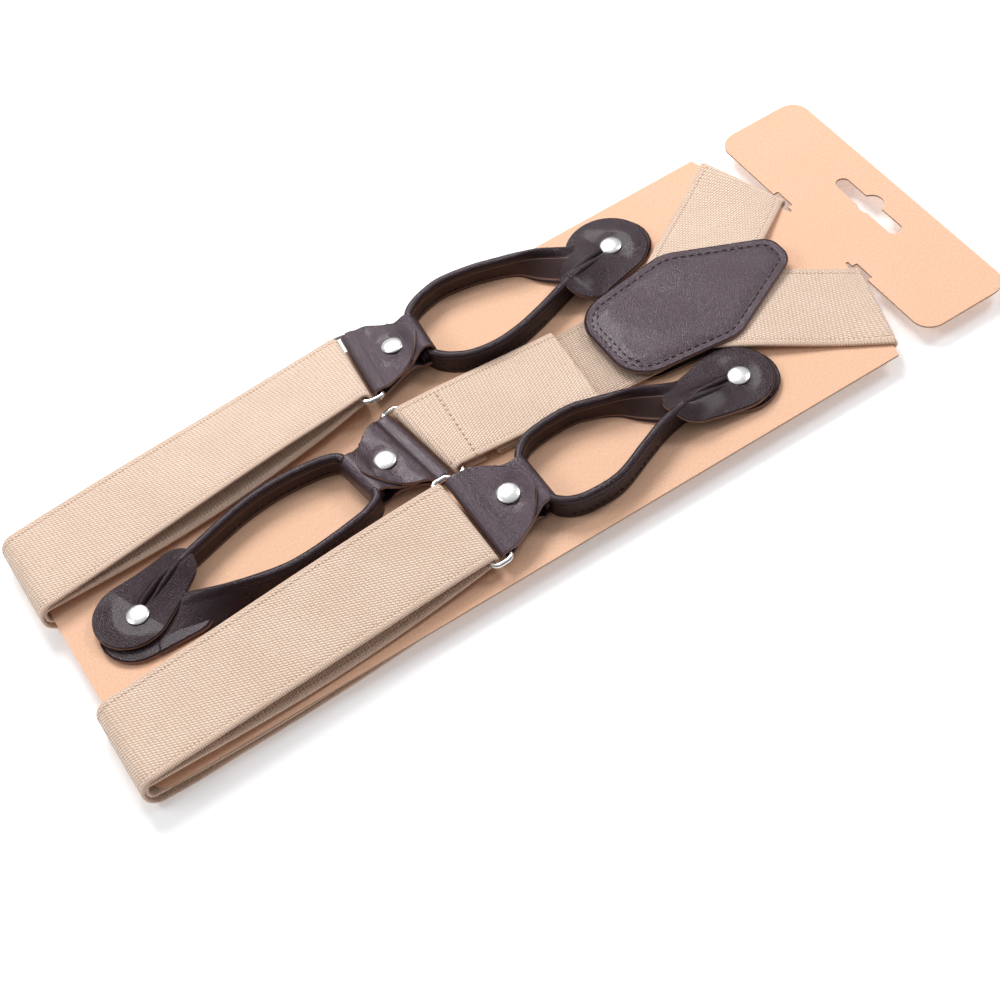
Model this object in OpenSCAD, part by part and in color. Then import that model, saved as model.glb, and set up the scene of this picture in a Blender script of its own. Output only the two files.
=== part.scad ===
// Button-loop suspenders folded round their hanging card.
// Millimetres. +X runs from the card's bottom end to its header, +Y to the left strap, +Z up.

/* [Webbing] */
// Width of the elastic webbing
strap_w = 35; // [34:0.5:35]
// Thickness of the elastic webbing
strap_t = 1.3; // [1.1:0.1:1.3]

/* [Card] */
// Width of the display card
card_w = 120; // [118:1:122]
// Length of the display card with its header
card_l = 326; // [324:1:332]
// Thickness of the display card
card_t = 0.7; // [0.5:0.1:0.7]

/* [Leather] */
// Thickness of the tab leather
hide_t = 1.2; // [1:0.1:1.2]
// Width of a tab where it passes through its tunnel
tunnel_w = 19; // [17:1:20]
// Height of a loop's folded thong
thong_h = 9; // [8:0.5:9]
// Thickness of a loop's folded thong
thong_t = 3; // [2.5:0.25:3]
// Radius of the round end of a loop
paddle_r = 12.8; // [12.4:0.2:13.2]

/* [Metal] */
// Radius of the ring wire
wire_r = 0.9; // [0.8:0.05:0.95]
// Distance between the two bars of a ring
ring_gap = 7; // [6.6:0.1:7.4]
// Radius of a rivet cap
cap_r = 4; // [3.6:0.2:4.8]
// Width of an adjuster frame across the strap
adjuster_w = 40; // [40:0.2:41]

/* [Hidden] */
$fn = 48;

// The card's top face is Z = 0 inside the modules; this shift stands the part on the floor
// and puts its origin under the middle of its bounding box.
stand = [-161.125, -3.209, 6.3];

// Card outline: neck, shoulders and header
neck_half = 16;
neck_x = 289.6;
shoulder_x = 277.8;
header_x = 290.6;
header_shift = 1.8;
notch_from = 18.5;
notch_to = 27;
notch_x = 292.5;
corner_r = 7;
arm_angle = 35;
shoulder_angle = 90 + arm_angle / 2;
hang_x = 312.4;

// Heights of the webbing's middle above the card's top face
arm_z = 0.75;
patch_arm_z = 3.5;
front_top_z = 6.4;
front_low_z = 4.6;
back_out_z = -5.65;
back_run_z = -4.2;
back_in_z = -1.55;
under_z = -1.45;

// Fold at the card's bottom end and places along the back
bend_x = 2.2;
bend_out_rx = 5.3;
bend_in_x = 0.3;
bend_in_rx = 2;
bend_in_rz = (front_low_z - back_in_z) / 2;
adjuster_x = 150;
adjuster_l = 18;
tail_end_x = 145.6;
adjuster_y = 36;
bow_y = 39.7;

// Bend of the webbing and of the leather round a ring bar
bend_gap = 0.15;
hole_gap = 0.1;
strap_turn_r = wire_r + bend_gap + strap_t / 2;
hide_turn_r = wire_r + hole_gap + hide_t;
ring_inner = strap_w + 1.8;

// Each strap end: [ring bar centre, yaw towards the loop, roll, height of the tab's sewn stack]
left_end = [[126, 46.8, 5.4], -7, -8, 4.2];
right_end = [[124, -35.6, 6.5], 1, 5, 5.6];
centre_end = [[135.2, 5.4, 2.9], 187, 0, 3.4];

// Distances from the ring's tab bar towards the loop
rivet_u = 11;
thong_u = 20.5;
axis_h = 5.2;
bore_r = 2.3;
axle_r = 2.2;

// Studs of the loops, and the middles of their upper and lower round ends
left_stud = [230, 40];
right_stud = [230, -37.2];
centre_stud = [23.3, 1];

// Routes of the thongs from the tunnel to the round ends, chosen by hand
left_far = [[154.6, 54.6], [158.5, 57], [165, 58.2], [173, 58], [186, 56], [200, 51.5], [213, 46]];
left_near = [[151.8, 31.6], [156, 28.6], [163, 25.2], [173, 23], [182, 22.2], [192, 23.6], [203, 28],
    [216, 34]];
right_far = [[150.9, -23.6], [155, -20.8], [163, -19.8], [172, -19.8], [186, -23.2],
    [198, -27.4], [212, -32]];
right_near = [[151.1, -47], [156, -50.2], [164, -52], [174, -51], [185, -47.2], [196, -43.2],
    [213, -38.5]];
centre_far = [[106.2, 13], [101, 16.2], [92, 18.6], [81, 19.2], [71, 18], [61, 15],
    [51, 9.6], [38, 5]];
centre_near = [[109, -9.8], [102, -12.4], [92, -14], [80, -15.2], [70, -14.8], [60, -13], [48, -9.6],
    [34, -6]];

function lerp(a, b, k) = a + (b - a) * k;
function ease(k) = let (c = min(max(k, 0), 1)) c * c * (3 - 2 * c);
function unit(v) = v / norm(v);
function flat(a) = [cos(a), sin(a), 0];
function side(a) = [-sin(a), cos(a), 0];

// Catmull-Rom curve through 2D points
function knot(p, i) = p[min(max(i, 0), len(p) - 1)];
function blend(a, b, c, d, k) =
    0.5 * (2 * b + (c - a) * k + (2 * a - 5 * b + 4 * c - d) * k * k
    + (3 * b - a - 3 * c + d) * k * k * k);
function curve(p, n = 5) = concat(
    [for (i = [0 : len(p) - 2]) for (j = [0 : n - 1])
        blend(knot(p, i - 1), p[i], p[i + 1], knot(p, i + 2), j / n)],
    [p[len(p) - 1]]);

// A strip of webbing through stations [middle, width vector]
function strip_normal(s, i) =
    let (a = s[max(i - 1, 0)][0], b = s[min(i + 1, len(s) - 1)][0])
    unit(cross(unit(b - a), unit(s[i][1])));
function strip_ring(s, i, t) =
    let (c = s[i][0], w = s[i][1] / 2, n = strip_normal(s, i) * t / 2)
    [c + w + n, c - w + n, c - w - n, c + w - n];
module strip(s, t) {
    last = len(s) - 1;
    points = [for (i = [0 : last]) each strip_ring(s, i, t)];
    walls = [for (i = [0 : last - 1]) for (j = [0 : 3])
        let (a = 4 * i + j, b = 4 * i + (j + 1) % 4)
        each [[a, b, b + 4], [a, b + 4, a + 4]]];
    ends = [[3, 2, 1], [3, 1, 0], [4 * last, 4 * last + 1, 4 * last + 2],
        [4 * last, 4 * last + 2, 4 * last + 3]];
    polyhedron(points, [for (f = concat(walls, ends)) [f[2], f[1], f[0]]], convexity = 8);
}

// Half turn of a strip: from the axis point, along x_dir at 0 degrees, with its width vector
function turn(axis, x_dir, z_dir, rx, rz, from, to, w, n = 10) =
    [for (k = [0 : n]) let (a = lerp(from, to, k / n))
        [axis + x_dir * rx * cos(a) + z_dir * rz * sin(a), w]];

// Front layers between the bottom fold and the ring, leaning and rolling on the way
function end_w(end) = side(end[1]) * cos(end[2]) + [0, 0, sin(end[2])];
function front_station(end, fold_y, z0, dz, k, bulge) =
    let (at = lerp([bend_x, fold_y, z0], end[0] + [0, 0, dz], k),
        lean = atan2(end[0][1] - fold_y, end[0][0] - bend_x),
        roll = end[2] * ease(k * 1.2),
        yaw = lerp(lerp(0, lean, ease(k * 5)), end[1], ease((k - 0.8) * 5)),
        dir = side(yaw) * cos(roll) + [0, 0, sin(roll)])
    [[at[0], at[1], lerp(z0, end[0][2] + dz, ease(k)) + bulge * sin(180 * k)], dir * strap_w];

// One side strap in one piece: from the patch over the shoulder, down the back, round the
// bottom end, up to the ring and back under itself to the adjuster.
function arm(sgn) =
    let (d = flat(sgn * arm_angle), w = side(sgn * arm_angle) * strap_w,
        f = flat(sgn * shoulder_angle) * strap_w / cos(arm_angle / 2) * sgn,
        edge_mid = [284.6, sgn * 38.2, -card_t / 2],
        meet = [284.6 - 38.1 / tan(arm_angle), sgn * 0.1, patch_arm_z],
        out = flat(sgn * arm_angle / 2), r = 1.1)
    concat(
        [[meet, [-strap_w / sin(arm_angle), 0, 0] * sgn]],
        [for (k = [0.4, 0.55, 0.7, 0.86])
            [[lerp(meet[0], edge_mid[0], k), lerp(meet[1], edge_mid[1], k),
                lerp(patch_arm_z, arm_z, ease((k - 0.3) * 1.6))], w]],
        turn(edge_mid, out, [0, 0, 1], r, r, 90, -90, f, 8));
function back_y(sgn, fold_y, x) =
    lerp(fold_y, sgn * adjuster_y, ease(x / adjuster_x))
    + (x < adjuster_x ? min(0, fold_y + bow_y) * 1.3 * sin(180 * x / adjuster_x) : 0);
function back_run(sgn, fold_y) =
    let (w = [0, strap_w, 0])
    concat(
        [[[270, sgn * 38.4, under_z], w], [[252, sgn * 38.6, under_z - 0.2], w],
            [[228, sgn * adjuster_y, back_run_z], w]],
        [for (x = [190 : -20 : 30]) [[x, back_y(sgn, fold_y, x), back_run_z], w]],
        [[[12, back_y(sgn, fold_y, 12), back_out_z + 0.15], w]]);
function bottom_fold_out(fold_y) =
    let (mid = (front_top_z + back_out_z) / 2)
    turn([bend_x, fold_y, mid], [1, 0, 0], [0, 0, 1], bend_out_rx, front_top_z - mid, 270, 90,
        [0, strap_w, 0], 14);
function bottom_fold_in(fold_y) =
    turn([bend_in_x, fold_y, (front_low_z + back_in_z) / 2], [1, 0, 0], [0, 0, 1], bend_in_rx,
        bend_in_rz, 90, 270, [0, strap_w, 0], 12);
function side_strap(sgn, end, fold_y) = concat(
    arm(sgn),
    back_run(sgn, fold_y),
    bottom_fold_out(fold_y),
    [for (k = [0.08 : 0.08 : 0.96]) front_station(end, fold_y, front_top_z, strap_turn_r, k, 0.5)],
    turn(end[0], flat(end[1]), cross(flat(end[1]), end_w(end)), strap_turn_r, strap_turn_r,
        90, -90, end_w(end) * strap_w, 10),
    [for (k = [0.96 : -0.08 : 0.08]) front_station(end, fold_y, front_low_z, -strap_turn_r, k, -0.5)],
    bottom_fold_in(fold_y),
    [for (x = [20 : 25 : 120]) [[x, back_y(sgn, fold_y, x), back_in_z], [0, strap_w, 0]]],
    [[[tail_end_x, sgn * adjuster_y, back_in_z], [0, strap_w, 0]]]);

// Rear strap: from under the patch, folded on itself once, then round the centre ring
centre_lean = -4.6;
function centre_at(x, z) = [[x, centre_end[0][1] + (x - centre_end[0][0]) * tan(centre_lean), z],
    side(centre_lean) * strap_w];
function centre_strap_path() =
    let (low = 0.85, mid = 2.35, top = 3.85, x = flat(centre_lean), z = [0, 0, 1])
    concat(
        [centre_at(221, 2.05), centre_at(201, 2), centre_at(193, low)],
        turn(centre_at(153, 0)[0] + [0, 0, (low + mid) / 2], x, z, 0.75, 0.75, 270, 90,
            side(centre_lean) * strap_w, 6),
        turn(centre_at(189, 0)[0] + [0, 0, (mid + top) / 2], x, z, 0.75, 0.75, -90, 90,
            side(centre_lean) * strap_w, 6),
        [centre_at(165, top + 0.3), centre_at(148, centre_end[0][2] + strap_turn_r)],
        turn(centre_end[0], -flat(centre_end[1]), z, strap_turn_r, strap_turn_r, 90, 270,
            -side(centre_end[1]) * strap_w, 10),
        [centre_at(147.5, centre_end[0][2] - strap_turn_r)]);

module left_strap() {
    color("burlywood") difference() {
        strip(side_strap(1, left_end, 37.4), strap_t);
        translate([190, -20, patch_arm_z - 3]) cube([17, 60, 6]);
    }
}

module right_strap() {
    color("burlywood") difference() {
        strip(side_strap(-1, right_end, -41.6), strap_t);
        translate([190, -40, patch_arm_z - 3]) cube([17, 60, 6]);
    }
}

module centre_strap() {
    color("burlywood") strip(centre_strap_path(), strap_t);
}

// Display card with shoulders, a necked header and a hang slot
module display_card() {
    color("sandybrown") translate([0, 0, -card_t]) difference() {
        linear_extrude(card_t) union() {
            translate([corner_r, -card_w / 2]) square([shoulder_x - corner_r, card_w]);
            translate([0, -card_w / 2 + corner_r]) square([corner_r + 1, card_w - 2 * corner_r]);
            for (s = [-1, 1]) translate([corner_r, s * (card_w / 2 - corner_r)]) circle(corner_r);
            polygon([[shoulder_x - 1, -card_w / 2], [shoulder_x, -card_w / 2], [neck_x, -neck_half],
                [neck_x, neck_half], [shoulder_x, card_w / 2], [shoulder_x - 1, card_w / 2]]);
            translate([neck_x - 1, -neck_half]) square([card_l - neck_x, 2 * neck_half]);
            translate([header_x + corner_r, header_shift - card_w / 2])
                square([card_l - header_x - 2 * corner_r, card_w]);
            translate([header_x, header_shift - card_w / 2 + corner_r])
                square([card_l - header_x, card_w - 2 * corner_r]);
            for (x = [header_x + corner_r, card_l - corner_r]) for (s = [-1, 1])
                translate([x, header_shift + s * (card_w / 2 - corner_r)]) circle(corner_r);
        }
        for (y = [-notch_to, notch_from]) translate([neck_x, y, -1])
            cube([notch_x - neck_x, notch_to - notch_from, card_t + 2]);
        translate([hang_x - 2.6, -13.5, -1]) cube([5.2, 29, card_t + 2]);
        for (y = [-13.5, 15.5]) translate([hang_x, y, -1]) cylinder(r = 2.6, h = card_t + 2);
        translate([hang_x + 1.2, 1, -1]) cylinder(r = 4.6, h = card_t + 2);
    }
}

// Kite-like outline of the back patch: rounded corners [middle, radius] joined by tangents
patch_corners = [[[211, -10], 10], [[238.5, -13.5], 10], [[268.3, -2], 6.2],
    [[268.3, 2], 6.2], [[238.5, 13.5], 10], [[211, 10], 10]];
function corner(i) = patch_corners[(i + len(patch_corners)) % len(patch_corners)];
function edge_normal(i) =
    let (a = corner(i), b = corner(i + 1), d = b[0] - a[0],
        lean = asin((a[1] - b[1]) / norm(d)), heading = atan2(d[1], d[0]))
    heading - 90 + lean;
function edge_start(i, inset) =
    let (a = corner(i), n = edge_normal(i))
    a[0] + (a[1] - inset) * [cos(n), sin(n)];
function edge_end(i, inset) =
    let (b = corner(i + 1), n = edge_normal(i))
    b[0] + (b[1] - inset) * [cos(n), sin(n)];

function corner_sweep(i) = (edge_normal(i) - edge_normal(i - 1) + 720) % 360;
function patch_points(inset, steps = 10) =
    [for (i = [0 : len(patch_corners) - 1]) for (k = [0 : steps])
        let (a = edge_normal(i - 1) + corner_sweep(i) * k / steps)
        corner(i)[0] + (corner(i)[1] - inset) * [cos(a), sin(a)]];

patch_z = patch_arm_z + strap_t / 2 + 0.1;
patch_t = 1.3;

module back_patch() {
    color("saddlebrown") translate([0, 0, patch_z]) linear_extrude(patch_t)
        polygon(patch_points(0));
}

module patch_backing() {
    color("saddlebrown") translate([0, 0, 0.1]) linear_extrude(1.15)
        polygon(patch_points(1));
}

// Stitches stand on the patch along a line inside its edge
module stitch(x, y, z, a) {
    translate([x, y, z]) rotate([0, 0, a]) translate([-0.9, -0.25, 0]) cube([1.8, 0.5, 0.35]);
}

module patch_stitching() {
    inset = 3;
    pitch = 2.9;
    z = patch_z + patch_t + 0.02;
    color("black") for (i = [0 : len(patch_corners) - 1]) {
        from = edge_start(i, inset);
        to = edge_end(i, inset);
        run = norm(to - from);
        count = max(1, round(run / pitch));
        for (k = [0 : count - 1])
            let (at = lerp(from, to, (k + 0.5) / count))
            stitch(at[0], at[1], z, atan2(to[1] - from[1], to[0] - from[0]));
        c = corner(i + 1);
        r = c[1] - inset;
        a0 = edge_normal(i);
        sweep = corner_sweep(i + 1);
        arcs = max(1, round(sweep * PI / 180 * r / pitch));
        for (k = [0 : arcs - 1])
            let (a = a0 + sweep * (k + 0.5) / arcs)
            stitch(c[0][0] + r * cos(a), c[0][1] + r * sin(a), z, a + 90);
    }
}

module centre_stitching() {
    z = centre_end[0][2] + strap_turn_r + strap_t / 2 + 0.02;
    color("khaki") for (k = [-16 : 2.6 : 16])
        translate([145.6 - k * sin(centre_lean), 4.1 + k * cos(centre_lean), z])
            rotate([0, 0, centre_lean + 90]) translate([-0.8, -0.2, 0]) cube([1.6, 0.4, 0.35]);
}

// Places children on a strap end: origin on the strap bar, +X towards the loop
module at_end(end) {
    translate(end[0]) rotate([0, 0, end[1]]) rotate([end[2], 0, 0]) children();
}

// Wire ring: two long bars and two rounded ends
module ring(end) {
    half = ring_inner / 2 + wire_r;
    r = 2.2;
    color("silver") at_end(end) union() {
        for (x = [0, ring_gap]) translate([x, 0, 0]) rotate([90, 0, 0])
            cylinder(r = wire_r, h = 2 * (half - r), center = true);
        for (s = [-1, 1]) translate([r, s * half, 0]) rotate([0, 90, 0])
            cylinder(r = wire_r, h = ring_gap - 2 * r);
        for (x = [0, 1]) for (s = [0, 1])
            translate([x == 0 ? r : ring_gap - r, (s == 0 ? -1 : 1) * (half - r), 0])
                rotate([0, 0, x == 0 ? (s == 0 ? 180 : 90) : (s == 0 ? 270 : 0)])
                    rotate_extrude(angle = 90) translate([r, 0]) circle(wire_r);
    }
}

// Leather tab: a flap folded round the ring's tab bar, with a tunnel for the thong.
// Heights are from the ring bar's axis; card_h is the axis height above the card.
module tab_side(points, width) {
    rotate([90, 0, 0]) linear_extrude(width, center = true) polygon(points);
}

module tab(end) {
    card_h = end[0][2];
    base = 0.25 - card_h + abs(sin(end[2])) * tunnel_w / 2;
    stack = end[3] - card_h;
    top = stack + 3 * hide_t + 0.1;
    tip_w = 12;
    tip_u = rivet_u - 3.4;
    flat_u = rivet_u - cap_r - 0.2;
    color("saddlebrown") at_end(end) translate([ring_gap, 0, 0]) difference() {
        union() {
            intersection() {
                union() {
                    tab_side([[0, hide_turn_r], [3.5, lerp(hide_turn_r, top, 0.7)],
                        [flat_u, top], [21, top], [21, top - hide_t], [flat_u, top - hide_t],
                        [0, wire_r + hole_gap]], strap_w);
                    rotate([90, 0, 0]) cylinder(r = hide_turn_r, h = strap_w, center = true);
                }
                translate([0, 0, -10]) linear_extrude(20) union() {
                    polygon([[-3, -strap_w / 2], [2, -strap_w / 2], [tip_u + 2.5, 0.5 - tip_w],
                        [tip_u + 2.5, tip_w - 0.5], [2, strap_w / 2], [-3, strap_w / 2]]);
                    translate([tip_u, 0]) circle(tip_w);
                }
            }
            intersection() {
                tab_side([[0, -wire_r - hole_gap], [7, stack + 2 * hide_t], [16, stack + 2 * hide_t],
                    [18, base + 8.2], [19.2, base + thong_h + 0.6], [21.8, base + thong_h + 0.6],
                    [thong_u + 2.8, base + thong_h - 0.8], [thong_u + 2.8, base + 1.4], [22, base],
                    [18, base], [15.2, stack], [7, stack], [0, -hide_turn_r]], strap_w);
                translate([0, 0, -10]) linear_extrude(20)
                    polygon([[-0.1, -strap_w / 2], [13, -tunnel_w / 2], [25, -tunnel_w / 2],
                        [25, tunnel_w / 2], [13, tunnel_w / 2], [-0.1, strap_w / 2]]);
            }
        }
        rotate([90, 0, 0]) cylinder(r = wire_r + hole_gap, h = strap_w + 2, center = true);
        translate([thong_u, 0, axis_h - card_h]) rotate([90, 0, 0])
            cylinder(r = bore_r, h = strap_w, center = true);
        translate([rivet_u, 0, -10]) cylinder(r = 1.6, h = 20);
    }
}

// Rivets and studs: a domed cap on a shank, and a flat back with a socket
module cap(shank) {
    rise = 1.1;
    r = (cap_r * cap_r + rise * rise) / (2 * rise);
    union() {
        intersection() {
            translate([0, 0, rise - r]) sphere(r, $fn = 96);
            cylinder(r = cap_r, h = rise);
        }
        translate([0, 0, -shank]) cylinder(r = 1.5, h = shank + 0.2);
    }
}

module tab_rivet(end) {
    color("gainsboro") at_end(end)
        translate([ring_gap + rivet_u, 0, end[3] + 3 * hide_t + 0.15 - end[0][2]])
            cap(3 * hide_t + 0.15);
}

module tab_rivet_back(end) {
    color("gray") at_end(end) translate([ring_gap + rivet_u, 0, end[3] - 0.75 - end[0][2]])
        cylinder(r = 3.8, h = 0.7);
}

// Loop: a folded thong standing on edge, its two ends flattened into stacked round paddles
lower_z = 0.8;
paddle_t = 1.3;
upper_z = 2.2;

module ribbon(route, h0, h1) {
    p = curve(route);
    n = len(p) - 1;
    left = [for (i = [0 : n]) let (d = unit(p[min(i + 1, n)] - p[max(i - 1, 0)]))
        p[i] + [-d[1], d[0]] * thong_t / 2];
    right = [for (i = [n : -1 : 0]) let (d = unit(p[min(i + 1, n)] - p[max(i - 1, 0)]))
        p[i] - [-d[1], d[0]] * thong_t / 2];
    translate([0, 0, h0]) linear_extrude(h1 - h0) polygon(concat(left, right));
}

module paddle(at, from, z) {
    d = unit(from - at);
    s = [-d[1], d[0]];
    translate([0, 0, z]) linear_extrude(paddle_t) union() {
        translate(at) circle(paddle_r);
        polygon([at + s * paddle_r, at - s * paddle_r, from - s * 6, from + s * 6]);
    }
}

module loop(end, far, near, stud, upper, lower) {
    f = far[len(far) - 1];
    n = near[len(near) - 1];
    color("saddlebrown") difference() {
        union() {
            ribbon(far, 0.3, 0.3 + thong_h);
            ribbon(near, 0.3, 0.3 + thong_h);
            paddle(lower, f, lower_z);
            paddle(upper, n, upper_z);
            at_end(end) translate([ring_gap + thong_u, 0, axis_h - end[0][2]])
                rotate([90, 0, 0]) cylinder(r = axle_r, h = tunnel_w + 5, center = true);
        }
        translate([stud[0], stud[1], -1]) cylinder(r = 1.6, h = 8);
    }
}

module loop_stud(at) {
    top = upper_z + paddle_t + 0.05;
    color("gainsboro") translate([at[0], at[1], top]) cap(top - 0.75);
}

module loop_stud_back(at) {
    color("gray") translate([at[0], at[1], 0.1]) cylinder(r = 3.8, h = 0.6);
}

// Adjuster under the card: a frame round the strap, a hinged lever and its pin
rail = 1.6;
frame_top = -1.7;
frame_bot = -2.5;
lug_bot = -6.2;
pin_x = adjuster_x + adjuster_l - 3;
pin_z = -5.65;
pin_r = 0.4;
lever_r = 0.65;

module adjuster_frame(sgn) {
    color("lightgray") translate([0, sgn * adjuster_y, 0]) difference() {
        union() {
            translate([adjuster_x, -adjuster_w / 2, frame_bot])
                cube([adjuster_l, adjuster_w, frame_top - frame_bot]);
            for (s = [-1, 1]) translate([adjuster_x, s * (adjuster_w / 2 - rail / 2) - rail / 2,
                    lug_bot])
                cube([adjuster_l, rail, frame_top - lug_bot]);
        }
        translate([adjuster_x + 2, -adjuster_w / 2 + rail, frame_bot - 1])
            cube([6, adjuster_w - 2 * rail, 3]);
        translate([pin_x, 0, pin_z]) rotate([90, 0, 0])
            cylinder(r = pin_r + 0.05, h = adjuster_w + 2, center = true);
    }
}

module adjuster_lever(sgn) {
    w = adjuster_w - 2 * rail - 0.6;
    color("silver") translate([0, sgn * adjuster_y, 0]) difference() {
        union() {
            translate([adjuster_x + 0.5, -w / 2, pin_z - lever_r])
                cube([pin_x - adjuster_x - 0.5, w, 2 * lever_r]);
            translate([pin_x, 0, pin_z]) rotate([90, 0, 0])
                cylinder(r = lever_r, h = w, center = true);
        }
        translate([pin_x, 0, pin_z]) rotate([90, 0, 0])
            cylinder(r = pin_r + 0.05, h = w + 2, center = true);
    }
}

module adjuster_pin(sgn) {
    color("gray") translate([pin_x, sgn * adjuster_y, pin_z]) rotate([90, 0, 0])
        cylinder(r = pin_r, h = adjuster_w, center = true);
}

// Sewn end of the strap, wrapped round the frame's first bar
module strap_end(sgn) {
    bar_top = frame_top + 0.1;
    bar_bot = frame_bot - 0.1;
    wrap = 0.75;
    color("burlywood") translate([0, sgn * adjuster_y, 0]) difference() {
        translate([adjuster_x - 4, -strap_w / 2, bar_bot - wrap])
            cube([7, strap_w, bar_top - bar_bot + 2 * wrap]);
        translate([adjuster_x - 0.1, -strap_w, bar_bot]) cube([2.2, 2 * strap_w, bar_top - bar_bot]);
    }
}

module left_strap_end() { strap_end(1); }
module right_strap_end() { strap_end(-1); }
module left_ring() { ring(left_end); }
module right_ring() { ring(right_end); }
module centre_ring() { ring(centre_end); }
module left_tab() { tab(left_end); }
module right_tab() { tab(right_end); }
module centre_tab() { tab(centre_end); }
module left_tab_rivet() { tab_rivet(left_end); }
module right_tab_rivet() { tab_rivet(right_end); }
module centre_tab_rivet() { tab_rivet(centre_end); }
module left_tab_rivet_back() { tab_rivet_back(left_end); }
module right_tab_rivet_back() { tab_rivet_back(right_end); }
module centre_tab_rivet_back() { tab_rivet_back(centre_end); }
module left_loop() { loop(left_end, left_far, left_near, left_stud, [228.6, 39.6], [230.4, 40.6]); }
module right_loop() {
    loop(right_end, right_far, right_near, right_stud, [230.2, -37.4], [231, -37]);
}
module centre_loop() {
    loop(centre_end, centre_near, centre_far, centre_stud, [21.8, 2.4], [20.6, -3.6]);
}
module left_loop_stud() { loop_stud(left_stud); }
module right_loop_stud() { loop_stud(right_stud); }
module centre_loop_stud() { loop_stud(centre_stud); }
module left_loop_stud_back() { loop_stud_back(left_stud); }
module right_loop_stud_back() { loop_stud_back(right_stud); }
module centre_loop_stud_back() { loop_stud_back(centre_stud); }
module left_adjuster_frame() { adjuster_frame(1); }
module right_adjuster_frame() { adjuster_frame(-1); }
module left_adjuster_lever() { adjuster_lever(1); }
module right_adjuster_lever() { adjuster_lever(-1); }
module left_adjuster_pin() { adjuster_pin(1); }
module right_adjuster_pin() { adjuster_pin(-1); }

translate(stand) {
    display_card();
    left_strap();
    right_strap();
    centre_strap();
    left_strap_end();
    right_strap_end();
    back_patch();
    patch_backing();
    patch_stitching();
    centre_stitching();
    left_ring();
    right_ring();
    centre_ring();
    left_tab();
    right_tab();
    centre_tab();
    left_tab_rivet();
    right_tab_rivet();
    centre_tab_rivet();
    left_tab_rivet_back();
    right_tab_rivet_back();
    centre_tab_rivet_back();
    left_loop();
    right_loop();
    centre_loop();
    left_loop_stud();
    right_loop_stud();
    centre_loop_stud();
    left_loop_stud_back();
    right_loop_stud_back();
    centre_loop_stud_back();
    left_adjuster_frame();
    right_adjuster_frame();
    left_adjuster_lever();
    right_adjuster_lever();
    left_adjuster_pin();
    right_adjuster_pin();
}
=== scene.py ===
"""Folded button-loop suspenders on their hanging card."""
from math import asin, atan2, cos, pi, radians, sin, sqrt, tan

import bpy
import numpy as np
from mathutils import Euler, Matrix, Vector


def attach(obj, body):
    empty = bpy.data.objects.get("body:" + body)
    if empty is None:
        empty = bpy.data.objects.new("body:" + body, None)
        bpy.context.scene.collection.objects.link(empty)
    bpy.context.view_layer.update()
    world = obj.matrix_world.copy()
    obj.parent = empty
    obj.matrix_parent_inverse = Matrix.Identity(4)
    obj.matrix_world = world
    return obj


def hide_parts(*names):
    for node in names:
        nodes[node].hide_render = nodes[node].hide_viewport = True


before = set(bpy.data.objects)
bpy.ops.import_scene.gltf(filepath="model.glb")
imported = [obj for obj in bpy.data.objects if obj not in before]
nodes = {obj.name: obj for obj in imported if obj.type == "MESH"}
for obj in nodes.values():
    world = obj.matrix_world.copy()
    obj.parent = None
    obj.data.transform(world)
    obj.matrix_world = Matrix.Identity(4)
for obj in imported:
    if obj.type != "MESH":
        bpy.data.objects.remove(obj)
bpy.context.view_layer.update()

# Working units are millimetres above the card's top face, as in the CAD; STAND moves them to the row frame.
STAND = np.array([-161.125, -3.209, 6.3])
STRAP_W, STRAP_T = 35.0, 1.3
HIDE_T, WIRE_R, RING_GAP = 1.2, 0.9, 7.0
ARM_ANGLE = radians(35)
ARM_Z, PATCH_ARM_Z = 0.75, 3.5
FRONT_TOP_Z, FRONT_LOW_Z = 6.4, 4.6
BACK_OUT_Z, BACK_RUN_Z, BACK_IN_Z, UNDER_Z = -5.65, -4.2, -1.55, -1.45
BEND_X, BEND_OUT_RX, BEND_IN_X, BEND_IN_RX = 2.2, 5.3, 0.3, 2.0
ADJUSTER_X, ADJUSTER_Y, BOW_Y, TAIL_END_X = 150.0, 36.0, 39.7, 145.6
STRAP_TURN_R, RING_SLACK = WIRE_R + 0.15 + STRAP_T / 2, 0.7
TUNNEL_W, THONG_U, RIVET_U, AXIS_H = 19.0, 20.5, 11.0, 5.2
THONG_H, THONG_FOOT_Z, AXLE_R = 9.0, 0.3, 2.1
LOWER_Z, UPPER_Z, PADDLE_T, RIDGE_TOP_Z = 0.8, 2.2, 1.3, 8.5
SHOULDER_X, SHOULDER_Y = 284.6, 38.2
CENTRE_LEAN = radians(-4.6)

# Strap ends: ring bar centre, yaw towards the loop, roll, height of the tab's sewn stack
ENDS = {
    "left": (np.array([126, 46.8, 5.4]), radians(-7), radians(-8), 4.2),
    "right": (np.array([124, -35.6, 6.5]), radians(1), radians(5), 5.6),
    "centre": (np.array([135.2, 5.4, 2.9]), radians(187), 0.0, 3.4),
}
Z = np.array([0.0, 0.0, 1.0])


def lerp(a, b, k):
    return a + (b - a) * k


def ease(k):
    c = np.clip(k, 0, 1)
    return c * c * (3 - 2 * c)


def unit(v):
    return np.asarray(v, float) / np.linalg.norm(v)


def flat(a):
    return np.array([cos(a), sin(a), 0.0])


def side(a):
    return np.array([-sin(a), cos(a), 0.0])


def run_of(points):
    """Distance along a polyline at each of its points."""
    return np.concatenate([[0], np.cumsum(np.linalg.norm(np.diff(points, axis=0), axis=1))])


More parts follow.
